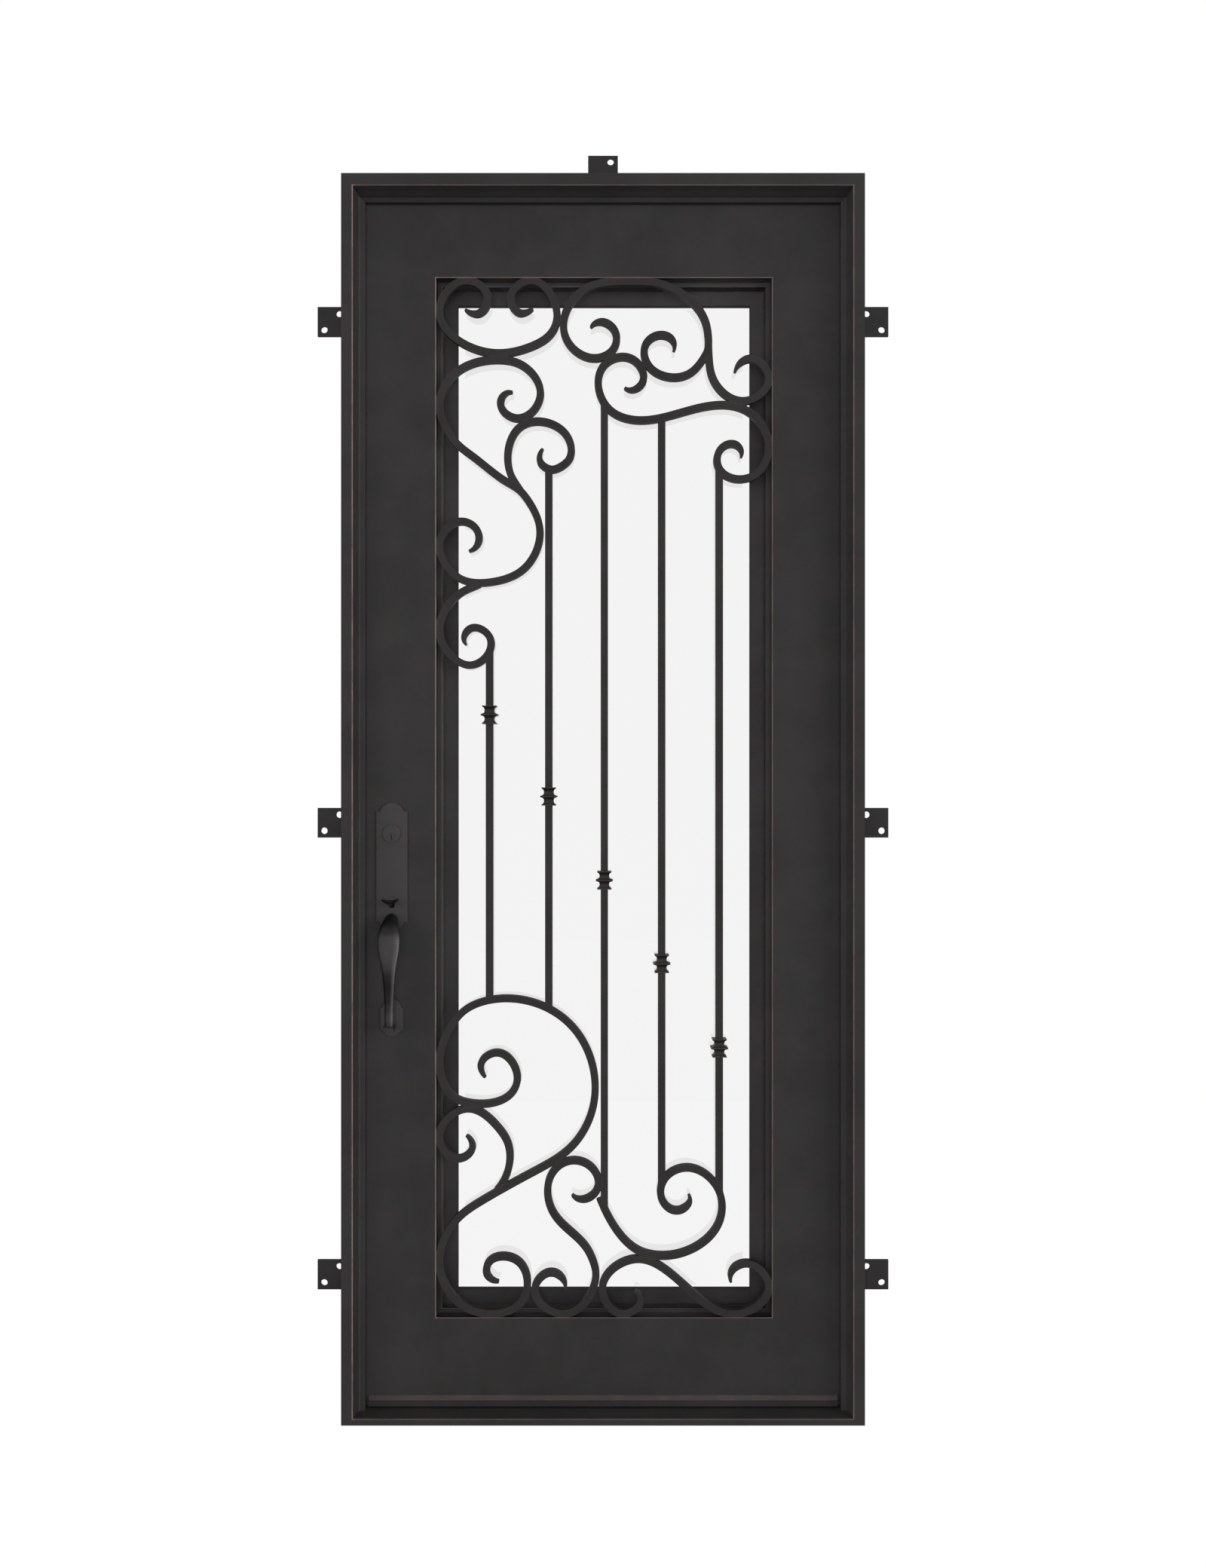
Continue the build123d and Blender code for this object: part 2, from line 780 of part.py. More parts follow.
with BuildPart() as hinges_door:
    for level in hinge_levels:
        with BuildSketch(Plane.XY.offset(level + hinge_split / 2)):
            add(door_leaf.sketch)
        extrude(amount=(hinge_length - hinge_split) / 2)
        with BuildSketch(Plane.XY.offset(level)):
            with Locations((hinge_x, hinge_y)):
                Circle(hinge_pin_radius + hinge_pin_play)
        extrude(amount=hinge_pin_length + hinge_split, mode=Mode.SUBTRACT)
finish(hinges_door, "hinges_door")


# Handle set on the street side
def escutcheon(half_width, side, rise, shoulder):
    """Handle plate with an arch inside small shoulders at both ends."""
    arch = half_width - shoulder
    with BuildPart() as plate:
        with BuildSketch(street_plane(slab_front)):
            with BuildLine():
                Polyline(
                    (handle_x - arch, side[0]),
                    (handle_x - half_width, side[0]),
                    (handle_x - half_width, side[1]),
                    (handle_x - arch, side[1]),
                )
                ThreePointArc(
                    (handle_x - arch, side[1]),
                    (handle_x, side[1] + rise[1]),
                    (handle_x + arch, side[1]),
                )
                Polyline(
                    (handle_x + arch, side[1]),
                    (handle_x + half_width, side[1]),
                    (handle_x + half_width, side[0]),
                    (handle_x + arch, side[0]),
                )
                ThreePointArc(
                    (handle_x + arch, side[0]),
                    (handle_x, side[0] - rise[0]),
                    (handle_x - arch, side[0]),
                )
            make_face()
        extrude(amount=plate_thickness)
        chamfer(plate.faces().sort_by(Axis.Y)[0].edges(), length=plate_bevel)
    return plate.part


upper_blank = escutcheon(
    upper_plate_half, upper_plate_side, upper_plate_rise, upper_plate_shoulder
)
lower_blank = escutcheon(
    lower_plate_half, lower_plate_side, lower_plate_rise, lower_plate_shoulder
)

# Upper plate: hole for the cylinder, slot for the thumb latch, two pivot ears behind it
ear_offset = thumb_hub_half + thumb_hub_play + ear_thickness / 2
with BuildPart() as plate_upper:
    add(upper_blank)
    with BuildSketch(street_plane(slab_front)):
        with Locations((handle_x, cylinder_level)):
            Circle(plate_bore_radius)
        with Locations((handle_x, thumb_level + (slot_up - slot_down) / 2)):
            RectangleRounded(slot_width, slot_up + slot_down, slot_round)
    extrude(amount=plate_thickness, mode=Mode.SUBTRACT)
    with BuildSketch(street_plane(pivot_y + ear_half)):
        for side in (-1, 1):
            with Locations((handle_x + side * ear_offset, thumb_level)):
                Rectangle(ear_thickness, 2 * ear_half)
    extrude(amount=pivot_y + ear_half - slab_front)
    with BuildSketch(Plane.YZ.offset(handle_x - pocket_width / 2)):
        with Locations((pivot_y, thumb_level)):
            Circle(thumb_pin_radius + thumb_pin_play)
    extrude(amount=pocket_width, mode=Mode.SUBTRACT)
finish(plate_upper, "plate_upper")

with BuildPart() as plate_lower:
    add(lower_blank)
finish(plate_lower, "plate_lower")

# Key cylinder with the plug low in its face
with BuildPart() as lock_cylinder:
    with BuildSketch(street_plane(slab_front + cylinder_shank)):
        with Locations((handle_x, cylinder_level)):
            Circle(cylinder_shank_radius)
    extrude(amount=cylinder_shank + plate_thickness)
    with BuildSketch(street_plane(plate_front)):
        with Locations((handle_x, cylinder_level)):
            Circle(cylinder_radius)
    extrude(amount=cylinder_reach)
    fillet(
        lock_cylinder.faces().sort_by(Axis.Y)[0].edges(), radius=cylinder_round
    )
    with BuildSketch(street_plane(plate_front - cylinder_reach)):
        with Locations((handle_x, plug_level)):
            Circle(plug_radius + plug_play)
    extrude(amount=-plug_length, mode=Mode.SUBTRACT)
finish(lock_cylinder, "lock_cylinder")

plug_face = plate_front - cylinder_reach - plug_reach
with BuildPart() as key_plug:
    with BuildSketch(street_plane(plug_face)):
        with Locations((handle_x, plug_level)):
            Circle(plug_radius)
    extrude(amount=-(plug_length + plug_reach - plug_end_play))
    with BuildSketch(street_plane(plug_face)):
        with Locations(
            (handle_x - keyway_width / 3, plug_level + keyway_height / 4),
            (handle_x + keyway_width / 3, plug_level - keyway_height / 4),
        ):
            Rectangle(keyway_width, keyway_height / 2)
    extrude(amount=-keyway_depth, mode=Mode.SUBTRACT)
finish(key_plug, "key_plug")

# Thumb latch: dished pad on a stem, rocking on a pin between the plate's ears
dish_radius = (thumb_width**2 / 4 + thumb_dish**2) / (2 * thumb_dish)
pad_y = pivot_y - thumb_reach
pad_top = thumb_level + thumb_stem_height / 2 + thumb_dish - thumb_pad_sink
with BuildPart() as thumb_latch:
    with Locations((handle_x, pad_y, pad_top - thumb_dish + dish_radius)):
        Sphere(dish_radius)
    split(bisect_by=Plane.XY.offset(pad_top), keep=Keep.BOTTOM)
    with BuildSketch(street_plane(pivot_y)):
        with BuildLine():
            Polyline(
                (handle_x - thumb_stem_width / 2, thumb_level + thumb_stem_height / 2),
                (handle_x - thumb_stem_foot / 2, thumb_level - thumb_stem_height / 2),
                (handle_x + thumb_stem_foot / 2, thumb_level - thumb_stem_height / 2),
                (handle_x + thumb_stem_width / 2, thumb_level + thumb_stem_height / 2),
                close=True,
            )
        make_face()
    extrude(amount=thumb_reach)
    with BuildSketch(Plane.YZ.offset(handle_x - thumb_hub_half)):
        with Locations((pivot_y, thumb_level)):
            Circle(thumb_hub_radius)
    extrude(amount=2 * thumb_hub_half)
    with BuildSketch(Plane.YZ.offset(handle_x - ear_offset - ear_thickness / 2)):
        with Locations((pivot_y, thumb_level)):
            Circle(thumb_pin_radius)
    extrude(amount=2 * ear_offset + ear_thickness)
finish(thumb_latch, "thumb_latch")

# Grip: oval sections from the upper plate out and down, a rolled band and a post at its foot
with BuildPart() as grip_band:
    with BuildSketch(street_plane(plate_front - foot_reach + foot_band)):
        with Locations((handle_x, (foot_bottom + foot_top) / 2)):
            Rectangle(foot_width, foot_top - foot_bottom)
    extrude(amount=foot_band)
    band_front = grip_band.edges().filter_by(Axis.X).group_by(Axis.Y)[0]
    fillet(band_front, radius=foot_round)

stations = [
    (level, slab_front - reach, width, thickness)
    for level, reach, width, thickness in grip_stations
]
with BuildPart() as grip:
    with BuildSketch(Plane((handle_x, plate_front, grip_root_level), (1, 0, 0), (0, -1, 0))):
        Ellipse(grip_root_width / 2, grip_root_height / 2)
    previous = (grip_root_level, plate_front)
    for place, (level, depth, width, thickness) in enumerate(stations):
        following = stations[min(place + 1, len(stations) - 1)]
        heading = (0, following[1] - previous[1], following[0] - previous[0])
        with BuildSketch(Plane((handle_x, depth, level), (1, 0, 0), heading)):
            Ellipse(width / 2, thickness / 2)
        previous = (level, depth)
    loft()
    with BuildSketch(street_plane(plate_front)):
        with Locations((handle_x, (foot_bottom + foot_top) / 2)):
            Rectangle(foot_post_width, foot_post_height)
    extrude(amount=foot_reach - foot_round)
    add(grip_band.part)
finish(grip, "grip")

# Room side: lever on a round rose and a thumb turn
with BuildPart() as inside_lever:
    with BuildSketch(street_plane(slab_back)):
        with Locations((handle_x, thumb_level)):
            Circle(rose_radius)
    extrude(amount=-rose_thickness)
    fillet(inside_lever.faces().sort_by(Axis.Y)[-1].edges(), radius=rose_round)
    with BuildSketch(street_plane(slab_back)):
        with Locations((handle_x, thumb_level)):
            Circle(lever_neck_radius)
    extrude(amount=-lever_neck)
    with BuildSketch(street_plane(slab_back + lever_neck)):
        with Locations((handle_x + (lever_length - lever_height) / 2, thumb_level)):
            SlotOverall(lever_length, lever_height)
    extrude(amount=-lever_thickness)
finish(inside_lever, "inside_lever")

with BuildPart() as inside_turn:
    with BuildSketch(street_plane(slab_back)):
        with Locations((handle_x, cylinder_level)):
            Circle(turn_radius)
    extrude(amount=-rose_thickness)
    fillet(inside_turn.faces().sort_by(Axis.Y)[-1].edges(), radius=rose_round)
    with BuildSketch(street_plane(slab_back + rose_thickness)):
        with Locations((handle_x, cylinder_level)):
            SlotOverall(turn_height, turn_width, rotation=90)
    extrude(amount=-turn_reach)
finish(inside_turn, "inside_turn")
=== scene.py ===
"""Iron entry door: materials, small hardware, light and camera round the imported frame."""
import json
import math

import bpy
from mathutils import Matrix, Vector


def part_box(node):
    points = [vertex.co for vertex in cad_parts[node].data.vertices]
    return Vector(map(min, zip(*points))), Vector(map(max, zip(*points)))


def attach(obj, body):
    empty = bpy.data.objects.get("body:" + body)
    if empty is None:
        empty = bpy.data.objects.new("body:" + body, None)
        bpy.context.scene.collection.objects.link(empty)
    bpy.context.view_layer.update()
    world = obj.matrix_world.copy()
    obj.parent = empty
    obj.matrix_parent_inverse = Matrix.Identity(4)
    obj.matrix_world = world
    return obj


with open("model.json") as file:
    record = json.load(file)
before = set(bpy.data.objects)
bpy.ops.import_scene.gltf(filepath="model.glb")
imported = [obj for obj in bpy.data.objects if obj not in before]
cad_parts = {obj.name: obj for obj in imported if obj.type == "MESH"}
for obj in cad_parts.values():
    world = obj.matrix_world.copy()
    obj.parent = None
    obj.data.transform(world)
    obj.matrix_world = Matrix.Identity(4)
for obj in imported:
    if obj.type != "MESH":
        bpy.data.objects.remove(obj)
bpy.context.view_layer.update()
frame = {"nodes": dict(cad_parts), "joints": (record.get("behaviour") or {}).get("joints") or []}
nodes = frame["nodes"]

MM = 0.001

# Places read from the frame
head_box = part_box("head")
sill_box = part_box("sill")
jamb_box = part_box("jamb_right")
stop_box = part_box("stop_right")
stop_head_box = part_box("stop_head")
rail_top_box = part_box("rail_top")
rail_bottom_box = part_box("rail_bottom")
stile_lock_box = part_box("stile_lock")
stile_hinge_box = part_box("stile_hinge")
glass_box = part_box("glass")
sash_ends_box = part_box("sash_ends")
sash_sides_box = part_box("sash_sides")
grip_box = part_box("grip")
thumb_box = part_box("thumb_latch")
slab_front = rail_top_box[0].y
slab_back = rail_top_box[1].y
frame_front = head_box[0].y
frame_back = head_box[1].y

# Sizes that the frame's boxes don't give
jamb_face = 23.1 * MM
head_face = 24.6 * MM
lip_width = 9.4 * MM
cut_out_depth = 26.5 * MM
edge_round = 1.2 * MM
rub_width = 2.5 * MM

# Rectangles in XZ: left, right, bottom, top
window_edge = (
    rail_bottom_box[0].x,
    rail_bottom_box[1].x,
    rail_bottom_box[1].z,
    rail_top_box[0].z,
)
frame_edge = (
    jamb_face - jamb_box[1].x,
    jamb_box[1].x - jamb_face,
    sill_box[1].z,
    head_box[1].z - head_face,
)
sash_face = sash_ends_box[0].x - window_edge[0]
sash_edge = (
    window_edge[0] + sash_face,
    window_edge[1] - sash_face,
    window_edge[2] + sash_face,
    window_edge[3] - sash_face,
)

# Linear colours; each pair is the two that a material's clouds run between
bronze = ((0.0288, 0.0268, 0.0277, 1), (0.0345, 0.0322, 0.0332, 1))
wrought = ((0.0280, 0.0266, 0.0266, 1), (0.0340, 0.0324, 0.0322, 1))
hardware = ((0.0440, 0.0413, 0.0425, 1), (0.0500, 0.0468, 0.0476, 1))
hues = ((1.035, 0.985, 1.015, 1), (0.965, 1.015, 0.960, 1))
rubber = ((0.006, 0.006, 0.006, 1), (0.010, 0.010, 0.010, 1))
steel = ((0.30, 0.29, 0.27, 1), (0.22, 0.21, 0.20, 1))
copper = (0.250, 0.174, 0.143, 1)
pane_clear = (0.881, 0.883, 0.881, 1)
pane_margin = (0.895, 0.897, 0.895, 1)
floor_grey = (0.7, 0.7, 0.7, 1)
white = (1, 1, 1, 1)


class Graph:
    """Short names for building one material's nodes."""

    def __init__(self, name):
        self.material = bpy.data.materials.new(name)
        self.material.use_nodes = True
        self.tree = self.material.node_tree
        self.shader = self.tree.nodes["Principled BSDF"]
        self.output = self.tree.nodes["Material Output"]

    def add(self, kind, **settings):
        """New node of a kind."""
        node = self.tree.nodes.new(kind)
        for key, value in settings.items():
            setattr(node, key, value)
        return node

    def link(self, start, end):
        """Wire between two sockets."""
        self.tree.links.new(start, end)

    def feed(self, socket, value):
        """Socket fed by another socket or by a plain value."""
        if isinstance(value, bpy.types.NodeSocket):
            self.link(value, socket)
        else:
            socket.default_value = value

    def math(self, operation, first, second=0.0):
        """One step of arithmetic."""
        node = self.add("ShaderNodeMath", operation=operation)
        self.feed(node.inputs[0], first)
        self.feed(node.inputs[1], second)
        return node.outputs[0]

    def times(self, first, *others):
        """Product of values."""
        for other in others:
            first = self.math("MULTIPLY", first, other)
        return first

    def distance(self, first, second):
        """How far apart two values are."""
        return self.math("ABSOLUTE", self.math("SUBTRACT", first, second))

    def ramp(self, value, start, end, low=0.0, high=1.0):
        """Smooth step from low at the start to high at the end."""
        node = self.add("ShaderNodeMapRange", interpolation_type="SMOOTHSTEP")
        self.feed(node.inputs["Value"], value)
        node.inputs["From Min"].default_value = start
        node.inputs["From Max"].default_value = end
        node.inputs["To Min"].default_value = low
        node.inputs["To Max"].default_value = high
        return node.outputs[0]

    def curve(self, value, low, high, levels):
        """Smooth run of levels over a value's range; each level stands at a share of it."""
        share = self.ramp(value, low, high)
        share.node.interpolation_type = "LINEAR"
        band = self.add("ShaderNodeValToRGB")
        self.link(share, band.inputs["Fac"])
        stops = band.color_ramp
        stops.interpolation = "EASE"
        while len(stops.elements) < len(levels):
            stops.elements.new(0.5)
        top = max(level for _, level in levels)
        for element, (position, level) in zip(stops.elements, levels):
            element.position = position
            element.color = (level / top, level / top, level / top, 1)
        return self.times(band.outputs[0], top)

    def noise(self, scale, detail=3.0, roughness=0.5, stretch=(1, 1, 1)):
        """Cloudy value from 0 to 1, the finer the larger the scale."""
        mapping = self.add("ShaderNodeMapping")
        self.link(self.coordinates(), mapping.inputs["Vector"])
        mapping.inputs["Scale"].default_value = stretch
        node = self.add("ShaderNodeTexNoise")
        self.link(mapping.outputs[0], node.inputs["Vector"])
        node.inputs["Scale"].default_value = scale
        node.inputs["Detail"].default_value = detail
        node.inputs["Roughness"].default_value = roughness
        return node.outputs["Fac"]

    def coordinates(self):
        """The object's own coordinates."""
        return self.add("ShaderNodeTexCoord").outputs["Object"]

    def split(self, vector):
        """A vector's three parts."""
        node = self.add("ShaderNodeSeparateXYZ")
        self.link(vector, node.inputs[0])
        return node.outputs

    def place(self):
        """The point's x, y and z in the object."""
        return self.split(self.coordinates())

    def normal(self):
        """The surface's plain normal."""
        return self.add("ShaderNodeNewGeometry").outputs["Normal"]

    def facing(self):
        """The plain normal's x, y and z."""
        return self.split(self.normal())

    def rounded(self, radius):
        """Normal with this piece's edges eased."""
        node = self.add("ShaderNodeBevel", samples=6)
        node.inputs["Radius"].default_value = radius
        return node.outputs[0]

    def bump(self, height, strength, distance, normal=None):
        """Normal with fine relief on it."""
        node = self.add("ShaderNodeBump")
        node.inputs["Strength"].default_value = strength
        node.inputs["Distance"].default_value = distance
        self.link(height, node.inputs["Height"])
        if normal is not None:
            self.link(normal, node.inputs["Normal"])
        return node.outputs[0]

    def mix(self, factor, first, second):
        """Colour between two colours."""
        node = self.add("ShaderNodeMix", data_type="RGBA")
        self.feed(node.inputs["Factor"], factor)
        self.feed(node.inputs["A"], first)
        self.feed(node.inputs["B"], second)
        return node.outputs["Result"]

    def tinted(self, colour, tint):
        """Two colours multiplied."""
        node = self.add("ShaderNodeVectorMath", operation="MULTIPLY")
        self.link(colour, node.inputs[0])
        self.link(tint, node.inputs[1])
        return node.outputs[0]

    def scaled(self, colour, factor):
        """Colour times a factor that varies over the piece."""
        node = self.add("ShaderNodeVectorMath", operation="SCALE")
        self.link(colour, node.inputs[0])
        self.feed(node.inputs["Scale"], factor)
        return node.outputs[0]

    def blend(self, factor, first, second):
        """Shader between two shaders."""
        node = self.add("ShaderNodeMixShader")
        self.feed(node.inputs["Fac"], factor)
        self.link(first.outputs[0], node.inputs[1])
        self.link(second.outputs[0], node.inputs[2])
        return node


def beyond_rectangle(graph, edge):
    """How far a point lies outside a rectangle in XZ; negative inside."""
    left, right, bottom, top = edge
    x, _, z = graph.place()
    off_x = graph.distance(x, (left + right) / 2)
    off_z = graph.distance(z, (bottom + top) / 2)
    out_x = graph.math("SUBTRACT", off_x, (right - left) / 2)
    out_z = graph.math("SUBTRACT", off_z, (top - bottom) / 2)
    return graph.math("MAXIMUM", out_x, out_z)


def copper_line(edge, front):
    """Mask of a rubbed copper line on a face just outside a rectangle, with a painted highlight
    that makes it brightest at its left.
    """
    left, _, bottom, _ = edge
    soft = 0.3 * MM
    # The left side at full strength is a painted highlight; the other sides and the foot are
    # fainter.
    other_sides = 0.52
    foot = 0.70

    def mask(graph):
        x, y, z = graph.place()
        away = beyond_rectangle(graph, edge)
        behind = graph.math("SUBTRACT", y, front)
        return graph.times(
            graph.ramp(away, 0.0, soft),
            graph.ramp(away, rub_width, rub_width * 0.8),
            graph.ramp(behind, 2 * soft, soft),
            graph.ramp(x, left + 1 * MM, left + 6 * MM, 1.0, other_sides),
            graph.ramp(z, bottom + 2 * MM, bottom - 1 * MM, 1.0, foot),
        )
    return mask


def worn_edges(radius):
    """Mask of the piece's own sharp edges."""
    def mask(graph):
        dot = graph.add("ShaderNodeVectorMath", operation="DOT_PRODUCT")
        graph.link(graph.rounded(radius), dot.inputs[0])
        graph.link(graph.normal(), dot.inputs[1])
        return graph.ramp(dot.outputs["Value"], 0.97, 0.80)
    return mask


def bevel_highlight(graph):
    """Mask of the faces that slope up, such as the drip bar's bevel, where a highlight is
    painted.
    """
    return graph.ramp(graph.facing()[2], 0.2, 0.5)


def paint(name, coat, roughness=0.55, edge=None, rub_and_highlight=0.8, grain=0.10, specular=0.06,
          tone=None, eased=True):
    """Dark coat with clouds of tone and hue, fine grain, and copper on rubbed places and painted
    highlights.

    The edge masks the rubbed places and the painted highlights, and the rub factor says how much
    copper shows there; the tone is a factor on the coat's colour that paints light and shade,
    and an eased piece has its edges rounded.
    """
    graph = Graph(name)
    shader = graph.shader
    clouds = graph.ramp(graph.noise(7.0, 5.0, 0.6), 0.35, 0.65)
    hue = graph.mix(graph.ramp(graph.noise(22.0, 4.0, 0.65), 0.38, 0.62), *hues)
    colour = graph.tinted(graph.mix(clouds, *coat), hue)
    if tone:
        colour = graph.scaled(colour, tone(graph))
    if edge:
        patchy = graph.ramp(graph.noise(26.0, 3.0, 0.6), 0.30, 0.62, 0.55, 1.0)
        colour = graph.mix(graph.times(patchy, rub_and_highlight, edge(graph)), colour, copper)
    graph.link(colour, shader.inputs["Base Color"])
    fine = graph.noise(700.0, 2.0)
    graph.link(graph.ramp(fine, 0.3, 0.7, roughness - 0.06, roughness + 0.06),
               shader.inputs["Roughness"])
    shader.inputs["Specular IOR Level"].default_value = specular
    under = graph.rounded(edge_round) if eased else None
    graph.link(graph.bump(fine, grain, 0.3 * MM, under), shader.inputs["Normal"])
    return graph.material


def dress(material, *names):
    """Give CAD nodes their finished material."""
    for name in names:
        for place in nodes[name].material_slots:
            place.material = material


def cove_painted_light(level):
    """Factor on a frame member's colour: 1 on its face, and this level on its coved side, which
    paints light onto the cove.
    """
    def tone(graph):
        behind = graph.math("SUBTRACT", graph.place()[1], frame_front)
        return graph.ramp(behind, 0.8 * MM, 3.0 * MM, 1.0, level)
    return tone


def stop_painted_light(graph):
    """Side stops: painted light all over, and a painted highlight line down the left one, next
    to its jamb.
    """
    outer = -stop_box[1].x
    return graph.ramp(graph.place()[0], outer + 2.9 * MM, outer + 1.9 * MM, 1.25, 2.2)


def head_stop_shade(graph):
    """Head stop: painted shade, a little all over and dark where it meets the head."""
    top = stop_head_box[1].z
    return graph.ramp(graph.place()[2], top - 3.2 * MM, top - 2.2 * MM, 0.82, 0.40)


def slab_light_and_shade(graph):
    """Slab: painted shade in the front half of the window's cut-out, and painted light by the
    lock.
    """
    x, y, _ = graph.place()
    behind = graph.math("SUBTRACT", y, slab_front)
    away = graph.math("ABSOLUTE", beyond_rectangle(graph, window_edge))
    inside = graph.times(
        graph.ramp(away, 1.2 * MM, 0.6 * MM),
        graph.ramp(behind, 1.0 * MM, 2.2 * MM),
        graph.ramp(behind, cut_out_depth / 2, cut_out_depth / 4),
    )
    shade = graph.math("SUBTRACT", 1.0, graph.times(inside, 0.6))
    lock_edge = stile_lock_box[0].x
    return graph.times(shade, graph.ramp(x, lock_edge, lock_edge + 120 * MM, 1.22, 1.0))


def drip_highlight(graph):
    """Drip bar: painted highlight on its bevel, a little darker elsewhere."""
    return graph.ramp(graph.facing()[2], 0.2, 0.5, 0.92, 1.45)


def foot_shade(graph):
    """Factor that darkens the window's foot on the street side."""
    _, y, z = graph.place()
    bottom = window_edge[2]
    pane_back = glass_box[1].y
    low = graph.ramp(z, bottom + 75 * MM, bottom + 30 * MM, 0.0, 0.20)
    street = graph.ramp(y, pane_back + 8 * MM, pane_back + 2 * MM)
    return graph.math("SUBTRACT", 1.0, graph.times(low, street))


def lip_painted_light(graph):
    """Fixed lip: painted light, more of it deep in, a painted highlight along its inner edge
    that is brightest on the left, and the window foot's painted shade.
    """
    x, y, _ = graph.place()
    pane_front = glass_box[0].y
    away = graph.math("ADD", beyond_rectangle(graph, window_edge), lip_width)
    line = graph.ramp(graph.math("ABSOLUTE", away), 1.6 * MM, 0.8 * MM)
    side = graph.ramp(x, -100 * MM, 100 * MM, 1.6, 0.3)
    deep = graph.ramp(y, pane_front + 5 * MM, pane_front + 11 * MM, 0.0, 1.8)
    plain = graph.math("ADD", deep, 1.35)
    return graph.times(graph.math("ADD", graph.times(line, side), plain), foot_shade(graph))


def sash_painted_light(graph):
    """Sash: painted light on its street face and its return, with painted shade in a line next
    to the lip.
    """
    outward = graph.facing()[1]
    street = graph.ramp(outward, -0.5, -0.8)
    away = graph.math("ADD", beyond_rectangle(graph, window_edge), lip_width - 2.0 * MM)
    line = graph.ramp(graph.math("ABSOLUTE", away), 1.8 * MM, 1.0 * MM, 2.32, 1.4)
    face = graph.math("ADD", graph.times(graph.math("SUBTRACT", line, 1.0), street), 1.0)
    inner = graph.ramp(graph.math("ABSOLUTE", outward), 0.5, 0.3, 1.0, 1.8)
    return graph.times(face, foot_shade(graph), inner)


def wrought_side_shade(graph):
    """Wrought bars: painted shade on the faces turned neither to the street nor to the room."""
    return graph.ramp(graph.math("ABSOLUTE", graph.facing()[1]), 0.3, 0.8, 0.55, 1.0)


def collar_painted_shade(graph):
    """Collars: painted shade under their rims, painted light where a cove turns up."""
    return graph.ramp(graph.facing()[2], -0.5, 0.2, 0.30, 1.0)


def grip_painted_light(graph):
    """Grip: painted light at belly and foot, a painted highlight down its right side, painted
    shade elsewhere, under a hammered mottle.
    """
    foot = grip_box[0].z
    top = grip_box[1].z
    height = graph.place()[2]
    across = graph.facing()[0]
    body = graph.curve(height, foot, top, [
        (0.00, 0.90), (0.04, 0.65), (0.12, 0.90), (0.20, 0.50), (0.28, 0.28), (0.38, 0.20),
        (0.47, 0.32), (0.56, 0.75), (0.64, 0.98), (0.80, 1.00), (0.86, 0.50), (0.93, 0.17),
    ])
    sides = graph.curve(across, -1.0, 1.0, [
        (0.00, 0.15), (0.20, 0.35), (0.36, 0.90), (0.50, 1.00), (0.72, 1.05), (0.86, 0.75),
        (1.00, 0.30),
    ])
    sheen = graph.curve(across, -1.0, 1.0, [
        (0.55, 0.0), (0.66, 0.70), (0.76, 1.90), (0.86, 1.40), (0.94, 0.1),
    ])
    reach = graph.curve(height, foot, top, [
        (0.02, 0.2), (0.10, 0.9), (0.30, 0.75), (0.50, 1.0), (0.76, 1.0), (0.88, 0.1),
    ])
    hammered = graph.ramp(graph.noise(700.0, 3.0, 0.6), 0.32, 0.68, 0.86, 1.14)
    grip_light = graph.math("ADD", graph.times(body, sides), graph.times(sheen, reach))
    return graph.times(grip_light, hammered)


def thumb_painted_light(graph):
    """Thumb latch: painted highlight on the middle of its pad's top, painted shade on its
    underside and stem.
    """
    middle = (thumb_box[0].x + thumb_box[1].x) / 2
    off = graph.distance(graph.place()[0], middle)
    top = graph.ramp(graph.facing()[2], 0.2, 0.8)
    rest = graph.math("SUBTRACT", 1.0, top)
    pad_highlight = graph.ramp(off, 16.0 * MM, 3.0 * MM, 0.35, 3.2)
    under = graph.ramp(off, 13.0 * MM, 3.0 * MM, 0.12, 0.24)
    return graph.math("ADD", graph.times(pad_highlight, top), graph.times(under, rest))


# Rubbed copper lines round the door frame and the window, with a painted highlight on their left
# sides.
frame_line = copper_line(frame_edge, frame_front)
window_line = copper_line(window_edge, slab_front)

# The tones given to these paints paint light and shade onto their coats.
frame_paint = paint("frame_paint", bronze, edge=frame_line, rub_and_highlight=0.9, tone=cove_painted_light(1.35),
                    eased=False)
head_paint = paint("head_paint", bronze, edge=frame_line, rub_and_highlight=0.55, tone=cove_painted_light(1.05),
                   eased=False)
slab_paint = paint("slab_paint", bronze, edge=window_line, tone=slab_light_and_shade, eased=False)
stop_paint = paint("stop_paint", bronze, tone=stop_painted_light)
head_stop_paint = paint("head_stop_paint", bronze, tone=head_stop_shade)
lip_paint = paint("lip_paint", bronze, tone=lip_painted_light, eased=False)
sash_paint = paint("sash_paint", bronze, grain=0.06, specular=0.0, tone=sash_painted_light,
                   eased=False)
drip_paint = paint("drip_paint", bronze, edge=bevel_highlight, rub_and_highlight=0.10, tone=drip_highlight)
edge_paint = paint("edge_paint", bronze, edge=worn_edges(1.4 * MM), rub_and_highlight=0.4)
plain_paint = paint("plain_paint", bronze, grain=0.06)
wrought_paint = paint("wrought_paint", wrought, 0.5, edge=worn_edges(1.2 * MM), rub_and_highlight=0.40,
                      grain=0.2, specular=0.03, tone=wrought_side_shade)
collar_paint = paint("collar_paint", wrought, 0.45, edge=worn_edges(1.4 * MM), rub_and_highlight=0.75,
                     grain=0.2, tone=collar_painted_shade)
hardware_paint = paint("hardware_paint", hardware, 0.42, edge=worn_edges(0.8 * MM), rub_and_highlight=0.20,
                       grain=0.35)
grip_paint = paint("grip_paint", hardware, 0.40, grain=0.30, tone=grip_painted_light)
thumb_paint = paint("thumb_paint", hardware, 0.40, grain=0.15, tone=thumb_painted_light)


